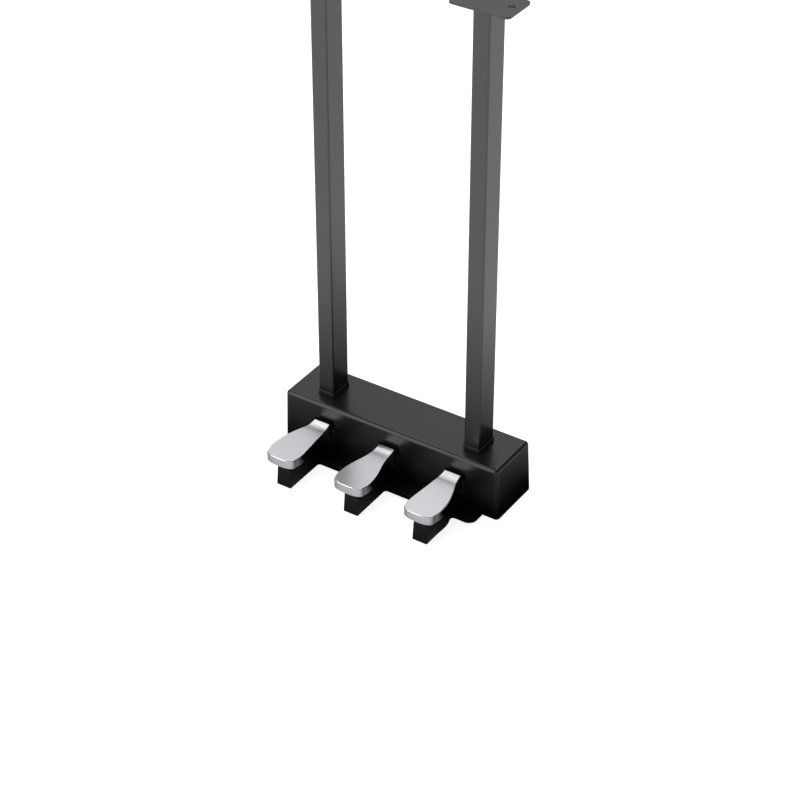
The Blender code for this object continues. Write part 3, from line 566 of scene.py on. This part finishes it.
def tongue_plan(side, x):
    """Plan of one tongue from where it joins the plate to its tip."""
    back = FRONT - 7.0
    if side == 0:
        return [(x - TONGUE_HALF, back), (x - TONGUE_HALF, TONGUE_TIP), (x + TONGUE_HALF, TONGUE_TIP),
                (x + TONGUE_HALF, back)]
    curve = [(w, FRONT - d) for d, w in smooth_side(TONGUE_SIDE, 26)]
    plan = [(TONGUE_SWING - TONGUE_HALF, back), (TONGUE_SWING - TONGUE_HALF, TONGUE_TIP),
            (TONGUE_SWING + TONGUE_HALF, TONGUE_TIP)] + curve[::-1] + [(curve[0][0], back)]
    if side < 0:
        plan = [(-px, py) for px, py in plan][::-1]
    return [(px + x, py) for px, py in plan]


def tongue_root(side, x):
    """Where the two sides of a tongue meet the plate's front edge."""
    wide = float(np.interp(FRONT - PLATE_FRONT + 4.0, *zip(*TONGUE_SIDE)))
    minus, plus = -TONGUE_HALF, TONGUE_HALF
    if side > 0:
        minus, plus = TONGUE_SWING - TONGUE_HALF, wide
    if side < 0:
        minus, plus = -wide, TONGUE_HALF - TONGUE_SWING
    return x + minus + 0.3, x + plus - 0.3


def make_base():
    step = FRONT + COVER_WALL + 0.3
    plan = [(-PLATE_INNER, BASE_HIGH.y), (-PLATE_INNER, step), (-PLATE_HALF, step), (-PLATE_HALF, PLATE_FRONT)]
    roots = []
    for name, side in SIDES.items():
        minus, plus = tongue_root(side, middle_of("arm_" + name).x)
        roots += [minus, plus]
        plan += [(minus, PLATE_FRONT), (minus, PLATE_FRONT - 7), (plus, PLATE_FRONT - 7), (plus, PLATE_FRONT)]
    plan += [(PLATE_HALF, PLATE_FRONT), (PLATE_HALF, step), (PLATE_INNER, step), (PLATE_INNER, BASE_HIGH.y)]
    bm = raise_outline(plan, BASE_LOW.z, PLATE_TOP)
    round_off(bm, 10.0, 10, lambda edge, middle, way: abs(way.z) > 0.9 and abs(middle.y - PLATE_FRONT) < 0.1
              and abs(middle.x) > PLATE_HALF - 0.1)
    round_off(bm, 4.0, 6, lambda edge, middle, way: abs(way.z) > 0.9 and abs(middle.y - PLATE_FRONT) < 0.1
              and min(abs(middle.x - r) for r in roots) < 0.1)
    round_off(bm, 1.0, 4, rim_at(PLATE_TOP))
    parts = []
    for name, side in SIDES.items():
        x = middle_of("arm_" + name).x
        tongue = raise_outline(tongue_plan(side, x), BASE_LOW.z, TONGUE_TOP)
        for v in tongue.verts:
            if v.co.y < TONGUE_TIP + 1 and v.co.z > TONGUE_TOP - 1:
                v.co.y += TONGUE_LEAN
        round_off(tongue, 1.0, 4, lambda edge, middle, way: abs(way.z) > 0.8 and middle.y < TONGUE_TIP + 3)
        round_off(tongue, 1.0, 4, rim_at(TONGUE_TOP))
        parts.append(tongue)
        spring = middle_of("return_spring_" + name)
        parts.append(rod((x, spring.y, PLATE_TOP - 1), 3.2, 7.0))
    for sign in (-1, 1):
        low, high = box("circuit_board")
        parts.append(block((sign * 36 - 4, low.y, PLATE_TOP - 1), (sign * 36 + 4, high.y, low.z - 0.3)))
    bm = join(bm, *parts)
    sinks = []
    for name in ("left", "middle", "right", "rear_left", "rear_right"):
        low, high = box("foot_" + name)
        sinks.append(rod(((low.x + high.x) / 2, (low.y + high.y) / 2, -1), (high.x - low.x) / 2 + 0.3, high.z + 1.3))
    for low, high in COVER_SCREWS:
        x, y = (low.x + high.x) / 2, (low.y + high.y) / 2
        sinks.append(turned([(0, -1), (3.7, -1), (3.7, BASE_LOW.z + 2.3), (1.8, BASE_LOW.z + 2.3), (1.8, 12), (0, 12)],
                            (x, y, 0)))
    for name in ["rail_screw_left", "rail_screw_right"] + ["bracket_screw_" + side for side in SIDES]:
        low, high = box(name)
        sinks.append(rod(((low.x + high.x) / 2, (low.y + high.y) / 2, low.z - 0.3), 1.8, 10, steps=24))
    bm = cut(bm, *sinks)
    piece("base_moulding", bm, LOOKS["black_base"], "lyre_frame", "base_plate", slot="black_base")


def make_feet():
    for name in ("left", "middle", "right", "rear_left", "rear_right"):
        low, high = box("foot_" + name)
        r, tall = (high.x - low.x) / 2, high.z - low.z
        profile = [(0, 0.5), (r * 0.45, 0.5), (r * 0.5, 0.0), (r - 0.5, 0.0), (r - 0.15, 0.15), (r, 0.5), (r, tall),
                   (0, tall)]
        piece("pad_" + name, turned(profile, ((low.x + high.x) / 2, (low.y + high.y) / 2, low.z)), LOOKS["rubber"],
              "lyre_frame", "foot_" + name, slot="rubber")


# ---------------------------------------------------------------- the pedals
MIDDLE_SIDE = [(4.5, 10.4), (12, 10.7), (20, 11.3), (27, 12.3), (34, 14.0), (41, 16.0), (48, 18.0), (55, 19.4),
               (62, 20.3), (69, 20.6), (74, 20.1), (78, 18.9)]
OUTER_SIDE = [(4.5, 10.4), (10, 11.0), (16, 12.2), (21, 13.8), (26, 16.0), (32, 18.2), (37, 19.8), (42, 21.4),
              (48, 22.8), (55, 23.8), (62, 24.3), (70, 24.2), (77, 22.6)]
INNER_SIDE = [(4.5, 10.4), (15, 11.3), (25, 12.2), (35, 13.1), (46, 14.2), (55, 15.1), (63, 15.8), (71, 15.9),
              (78, 14.6)]
TENON_HALF = 7.0
TENON_TOP = box("pedal_middle")[0].z + 5.0


def pedal_plan(side, x, tip_y, count=44, tip=30):
    """Plan of one pedal: narrow at the cover, widening to a blunt round toe."""
    minus, plus = {0: (MIDDLE_SIDE, MIDDLE_SIDE), 1: (INNER_SIDE, OUTER_SIDE), -1: (OUTER_SIDE, INNER_SIDE)}[side]
    left = [(-w, -d) for d, w in smooth_side(minus, count)]
    right = [(w, -d) for d, w in smooth_side(plus, count)]
    (xa, ya), (xb, yb) = left[-1], right[-1]
    centre, half, reach = (xa + xb) / 2, (xb - xa) / 2, FRONT - tip_y
    front = []
    for k in range(1, tip):
        t = math.pi * k / tip
        base = ya + (yb - ya) * k / tip
        front.append((centre - half * math.copysign(abs(math.cos(t)) ** 0.8, math.cos(t)),
                      base + (-reach - base) * math.sin(t) ** 0.75))
    return [(px + x, py + FRONT) for px, py in left + front + right[::-1]]


NECK_LENGTH, NECK_LIFT, NECK_STRIPS = 14.0, 2.6, 9
BAR_HALF = 10.0
BAR_DROP = 0.5               # the lever's bar lies this far below the pedal's top
BAR_DEPTH = 8.5


def lift_neck(bm, root, low, high):
    """The top of a pedal climbs gently over its last stretch before the cover."""
    for strip in range(NECK_STRIPS):
        along = root - NECK_LENGTH * (1 - strip / NECK_STRIPS)
        bmesh.ops.bisect_plane(bm, geom=bm.verts[:] + bm.edges[:] + bm.faces[:], dist=0.0001,
                               plane_co=(0, along, 0), plane_no=(0, 1, 0))
    for v in bm.verts:
        share = max(1 - (root - v.co.y) / NECK_LENGTH, 0)
        v.co.z += NECK_LIFT * share ** 2 * max((v.co.z - low) / (high - low), 0)
    return bm


SPRING_WIRE = 0.7
SPRING_TURNS = 5
COIL_STEPS = 24


def make_spring(name):
    """A coil of spring wire in the return spring's place; it rides on no body."""
    node = "return_spring_" + name
    low, high = box(node)
    centre = (low + high) / 2
    radius = (high.x - low.x) / 2 - SPRING_WIRE
    height = high.z - low.z - 2 * SPRING_WIRE
    bm = bmesh.new()
    bmesh.ops.create_circle(bm, segments=10, radius=SPRING_WIRE,
                            matrix=Matrix.Translation((radius, 0, 0)) @ Matrix.Rotation(math.pi / 2, 4, "X"))
    steps = SPRING_TURNS * COIL_STEPS
    bmesh.ops.spin(bm, geom=bm.verts[:] + bm.edges[:], cent=(0, 0, 0), axis=(0, 0, 1), dvec=(0, 0, height / steps),
                   angle=2 * math.pi * SPRING_TURNS, steps=steps, use_duplicate=False)
    bmesh.ops.holes_fill(bm, edges=[edge for edge in bm.edges if len(edge.link_faces) == 1], sides=0)
    bmesh.ops.recalc_face_normals(bm, faces=bm.faces)
    bmesh.ops.translate(bm, vec=(centre.x, centre.y, low.z + SPRING_WIRE), verts=bm.verts)
    coil = piece("spring_coil_" + name, bm, LOOKS["spring_steel"], None, node, slot="spring_steel")
    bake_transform(coil)


def make_pedal(name, side):
    body = name + "_lever"
    low, high = box("pedal_" + name)
    x = middle_of("arm_" + name).x
    bm = raise_outline(pedal_plan(side, x, low.y), low.z, high.z)
    round_off(bm, 1.0, 5, rim_at(high.z))
    round_off(bm, 0.5, 2, rim_at(low.z))
    lift_neck(bm, high.y, low.z, high.z)
    screw_y = middle_of("cap_screw_" + name).y
    screw_top = box("cap_screw_" + name)[1].z
    slot = block((x - TENON_HALF - 0.3, high.y - 44, low.z - 8), (x + TENON_HALF + 0.3, high.y + 8, TENON_TOP + 0.3))
    bm = cut(bm, slot, rod((x, screw_y, TENON_TOP - 1), 2.0, screw_top + 1.3 - TENON_TOP, steps=24))
    piece("chrome_pedal_" + name, bm, LOOKS["chrome"], body, "pedal_" + name, slot="chrome")

    arm_low = box("arm_" + name)[0]
    pin = middle_of("pivot_pin_" + name)
    bar_high = high.z - BAR_DROP
    bar_low = bar_high - BAR_DEPTH
    bar = round_off(block((x - BAR_HALF, high.y + 0.3, bar_low), (x + BAR_HALF, pin.y, bar_high)), 0.9, 3,
                    lambda edge, middle, way: abs(way.y) > 0.9 or middle.y < high.y + 1)
    boss = turned([(0, 0), (6.2, 0), (7, 0.8), (7, 19.2), (6.2, 20), (0, 20)], (x - 10, pin.y, pin.z), "+x", 48)
    tenon = block((x - TENON_HALF, arm_low.y, low.z), (x + TENON_HALF, high.y + 1.2, TENON_TOP))
    fin_low, fin_high = box("sensor_" + name)
    fin = block((x - 1, fin_low.y, arm_low.z), (x + 1, fin_high.y, bar_low + 1))
    arm = join(bar, boss, tenon, fin)
    arm = cut(arm, rod((x - 11, pin.y, pin.z), 2.8, 22, "+x"), rod((x, screw_y, low.z - 1), 2.0, 8, steps=24))
    piece("lever_arm_" + name, arm, LOOKS["black_arm"], body, "arm_" + name, slot="black_arm")

    low, high = box("down_stop_" + name)
    pad = round_off(round_off(block(low, high), 2.0, 5, upright), 0.5, 3, rim_at(high.z))
    piece("stop_pad_" + name, pad, LOOKS["rubber"], "lyre_frame", "down_stop_" + name, slot="rubber")


# ---------------------------------------------------------------- the posts
def make_post(name):
    low, high = box("post_" + name)
    tube = round_off(block(low, high), 2.0, 8, upright)
    bore = round_off(block(low + Vector((1.5, 1.5, -5)), high + Vector((-1.5, -1.5, 5))), 0.5, 3, upright)
    screw_low, screw_high = box("top_screw_" + name)
    x, z = (screw_low.x + screw_high.x) / 2, (screw_low.z + screw_high.z) / 2
    tube = cut(tube, bore, rod((x, high.y - 3, z), 2.3, 8, "+y", 24))
    piece("post_tube_" + name, tube, LOOKS["painted_tube"], "lyre_frame", "post_" + name, slot="painted_tube")

    low, high = box("post_collar_" + name)
    ring = round_off(round_off(block(low, high), 3.0, 6, upright), 0.5, 3, rim_at(high.z))
    hole = round_off(block(low + Vector((0.9, 0.9, -3)), high + Vector((-0.9, -0.9, 3))), 2.0, 6, upright)
    piece("collar_ring_" + name, cut(ring, hole), LOOKS["black_arm"], "lyre_frame", "post_collar_" + name,
          slot="black_arm")

    low, high = box("top_flange_" + name)
    centre = (low + high) / 2
    plate = block((low.x, low.y, high.z - 3), (high.x, high.y, high.z))
    plate = round_off(round_off(plate, 5.0, 6, upright), 0.4, 2, crisp())
    post_low, post_high = box("post_" + name)
    peg_high = Vector((post_high.x - 1.8, post_high.y - 1.8, high.z - 1))
    peg = round_off(block(post_low + Vector((1.8, 1.8, 0)), peg_high), 0.5, 2, upright)
    for v in peg.verts:
        v.co.z = max(v.co.z, low.z)
    flange = join(plate, peg)
    hole_shape = [(0, -2), (3, -2), (3, 4.6), (3.6, 5.2), (3.6, 8), (0, 8)]
    holes = [turned(hole_shape, (centre.x + way * 25, centre.y, high.z - 5))
             for way in (-1, 1)]
    flange = cut(flange, *holes, rod((x, post_high.y - 8.3, z), 2.3, 12, "+y", 24))
    piece("fixing_flange_" + name, flange, LOOKS["painted_tube"], "lyre_frame", "top_flange_" + name,
          slot="painted_tube")


# ---------------------------------------------------------------- screws, socket and small parts
def cross_screw(name, node, way, body, head_r, head, shank_r):
    """A cross-recess screw, its head pointing along way."""
    low, high = box(node)
    centre = (low + high) / 2
    turn = TURNS[way]
    axis = turn.to_3x3() @ Vector((0, 0, 1))
    length = abs((high - low).dot(axis))
    seat = centre + axis * (length / 2 - head)
    shank = length - head
    profile = [(0, -shank), (shank_r - 0.5, -shank), (shank_r, 0.6 - shank), (shank_r, 0), (head_r, 0),
               (head_r, head * 0.35), (head_r * 0.93, head * 0.62), (head_r * 0.78, head * 0.85),
               (head_r * 0.5, head), (0, head)]
    bm = turned(profile, seat, way, 32)
    arms = []
    for wide, deep in ((head_r * 0.55, head_r * 0.13), (head_r * 0.13, head_r * 0.55)):
        arm = block((-wide, -deep, head * 0.35), (wide, deep, head + 2))
        bmesh.ops.transform(arm, matrix=Matrix.Translation(seat) @ turn, verts=arm.verts)
        arms.append(arm)
    piece(name, cut(bm, *arms), LOOKS["zinc_steel"], body, node, slot="zinc_steel")


def make_screws():
    for number in (1, 2, 3, 4):
        cross_screw("case_screw_%d" % number, "cover_screw_%d" % number, "-z", "lyre_frame", 3.4, 1.7, 1.5)
    for name in SIDES:
        cross_screw("pedal_screw_" + name, "cap_screw_" + name, "-z", name + "_lever", 3.5, 2.0, 1.7)
        cross_screw("saddle_screw_" + name, "bracket_screw_" + name, "+z", "lyre_frame", 3.0, 2.0, 1.5)
    for name in POSTS:
        cross_screw("flange_screw_" + name, "top_screw_" + name, "+y", "lyre_frame", 4.0, 2.0, 2.0)
        cross_screw("chassis_screw_" + name, "rail_screw_" + name, "+z", "lyre_frame", 3.0, 2.0, 1.5)


def make_socket():
    low, high = box("cable_socket")
    centre = (low + high) / 2
    body_back = COVER_HIGH.y - 5.2
    shell = round_off(block(low, (high.x, body_back, high.z)), 0.6, 2, crisp())
    barrel_start = body_back - 1
    length = high.y - barrel_start
    barrel = turned([(0, 0), (6, 0), (6, length - 0.5), (5.5, length), (4.4, length), (4.0, length - 0.4),
                     (4.0, length - 8),
                     (0, length - 8)], (centre.x, barrel_start, centre.z), "+y", 64)
    bm = join(shell, barrel)
    bm = cut(bm, rod((centre.x, high.y - 8, centre.z), 4.0, 9, "+y", 64))
    pins = []
    for number in range(6):
        t = math.radians(30 + 48 * number)
        pins.append(turned([(0, -1), (0.45, -1), (0.45, 4.6), (0.25, 5), (0, 5)],
                           (centre.x + 2.4 * math.cos(t), high.y - 8, centre.z + 2.4 * math.sin(t)), "+y", 16))
    pins.append(block((centre.x - 0.8, high.y - 9, centre.z - 3.0), (centre.x + 0.8, high.y - 3.4, centre.z - 2.2)))
    piece("socket_body", join(bm, *pins), LOOKS["black_plastic"], "lyre_frame", "cable_socket", slot="black_plastic")


def dress_kept_parts():
    """Parts whose shape already stands get their finish."""
    kept = {"chassis_rail": "zinc_steel", "circuit_board": "board_green", "wire_harness": "wire_grey"}
    for name in SIDES:
        kept.update({"pivot_pin_" + name: "zinc_steel", "pivot_bracket_" + name: "zinc_steel",
                     "up_stop_" + name: "felt",
                     "sensor_" + name: "black_plastic"})
    for name in POSTS:
        kept.update({"post_plug_" + name: "zinc_steel", "post_bolt_" + name: "zinc_steel"})
    for node, look in kept.items():
        for material_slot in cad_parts[node].material_slots:
            material_slot.material = LOOKS[look]


# ---------------------------------------------------------------- studio
def make_floor():
    """A white sweep: pure white to look at. For all other rays it is a painted glow with painted shade, dark near the
    unit and dimmer behind it, which the unit's gloss picks up.
    """
    bm = bmesh.new()
    bmesh.ops.create_grid(bm, x_segments=1, y_segments=1, size=9.0, matrix=Matrix.Translation((0, 0, -0.0003)))
    mesh = bpy.data.meshes.new("studio_floor")
    bm.to_mesh(mesh)
    bm.free()
    floor = bpy.data.objects.new("studio_floor", mesh)
    bpy.context.scene.collection.objects.link(floor)
    look = Finish("studio_floor", specular=0.0)
    tree, shader = look.tree, look.shader
    split = tree.nodes.new("ShaderNodeSeparateXYZ")
    tree.links.new(stretched(tree, (1, 1, 1)), split.inputs["Vector"])
    squares = []
    cover_low, cover_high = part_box("shell_cover")
    for axis in (0, 1):
        centre, half = (cover_low[axis] + cover_high[axis]) / 2, (cover_high[axis] - cover_low[axis]) / 2
        off = math_node(tree, "ABSOLUTE", math_node(tree, "SUBTRACT", split.outputs[axis], centre))
        past = math_node(tree, "MAXIMUM", math_node(tree, "SUBTRACT", off, half), 0.0)
        squares.append(math_node(tree, "MULTIPLY", past, past))
    away = math_node(tree, "SQRT", math_node(tree, "ADD", *squares))
    # painted shade in the floor's glow: dimmer behind the unit and dark close to it, seen in reflections and bounced
    # light
    painted_shade_behind = math_node(tree, "MULTIPLY", spread(tree, split.outputs["Y"], *PAINTED_SHADE_BEHIND), PAINTED_SHADE_SHARE)
    painted_glow_and_shade = math_node(tree, "MULTIPLY", spread(tree, away, *PAINTED_SHADE_REACH),
                     math_node(tree, "SUBTRACT", 1.0, painted_shade_behind))
    seen = tree.nodes.new("ShaderNodeLightPath").outputs["Is Camera Ray"]
    # other rays get the painted glow and painted shade as emission; the camera gets plain white
    for socket, looked_at in (("Emission Color", 0.42), ("Base Color", 0.8)):
        mix = tree.nodes.new("ShaderNodeMix")
        mix.data_type = "RGBA"
        tree.links.new(seen, mix.inputs[0])
        mix.inputs[6].default_value = (0.0, 0.0, 0.0, 1.0)
        mix.inputs[7].default_value = (looked_at, looked_at, looked_at, 1.0)
        if socket == "Emission Color":
            tree.links.new(painted_glow_and_shade, mix.inputs[6])
        tree.links.new(mix.outputs[2], shader.inputs[socket])
    shader.inputs["Emission Strength"].default_value = 2.0
    shader.inputs["Roughness"].default_value = 0.9
    mesh.materials.append(look.material)


PAINTED_SHADE_REACH = (0.02, 0.33)    # painted shade near the unit in the floor's glow: where the white of the sweep starts to show in the gloss, and is full
PAINTED_SHADE_BEHIND = (0.02, 0.16)    # painted shade behind the unit: where the floor's glow starts to fade, and has faded
# how much of the floor's glow the painted shade behind the unit takes away
PAINTED_SHADE_SHARE = 0.35
WORLD_LIGHT, WORLD_SEEN = 0.13, 0.9
LENS = 102.42
VIEW_PLACE = (1.12994, -1.69503, 1.55999)
VIEW_DOWN, VIEW_ROUND = 35.39, 33.23


def soft_light(name, place, aim, width, height, power):
    lamp = bpy.data.lights.new(name, "AREA")
    lamp.shape = "RECTANGLE"
    lamp.size, lamp.size_y = width, height
    lamp.energy = power
    held = bpy.data.objects.new(name, lamp)
    held.location = place
    held.rotation_euler = (Vector(aim) - Vector(place)).to_track_quat("-Z", "Y").to_euler()
    bpy.context.scene.collection.objects.link(held)


def make_studio():
    make_floor()
    world = bpy.data.worlds.new("studio")
    world.use_nodes = True
    shade = world.node_tree.nodes["Background"]
    shade.inputs["Color"].default_value = (1.0, 1.0, 1.0, 1.0)
    paths = world.node_tree.nodes.new("ShaderNodeLightPath")
    level = world.node_tree.nodes.new("ShaderNodeMapRange")
    level.inputs["To Min"].default_value = WORLD_LIGHT
    level.inputs["To Max"].default_value = WORLD_SEEN
    world.node_tree.links.new(paths.outputs["Is Camera Ray"], level.inputs["Value"])
    world.node_tree.links.new(level.outputs["Result"], shade.inputs["Strength"])
    bpy.context.scene.world = world
    soft_light("back_panel", (-0.95, 1.55, 1.4), (0, 0, 0.05), 2.6, 1.9, 11.5)
    soft_light("key", (-0.85, -1.25, 0.85), (0, 0, 0.05), 1.1, 1.5, 14.5)
    soft_light("overhead", (-0.4, 0.5, 1.9), (0, 0, 0), 2.2, 1.8, 14.5)
    camera = bpy.data.cameras.new("view")
    camera.sensor_width = 36.0
    camera.lens = LENS
    held = bpy.data.objects.new("view", camera)
    held.location = VIEW_PLACE
    held.rotation_euler = (math.radians(90 - VIEW_DOWN), 0.0, math.radians(VIEW_ROUND))
    bpy.context.scene.collection.objects.link(held)
    bpy.context.scene.camera = held
    bpy.context.scene.view_settings.view_transform = "Standard"


make_cover()
make_base()
make_feet()
for pedal_name, pedal_side in SIDES.items():
    make_pedal(pedal_name, pedal_side)
    make_spring(pedal_name)
for post_name in POSTS:
    make_post(post_name)
make_screws()
make_socket()
dress_kept_parts()
make_studio()
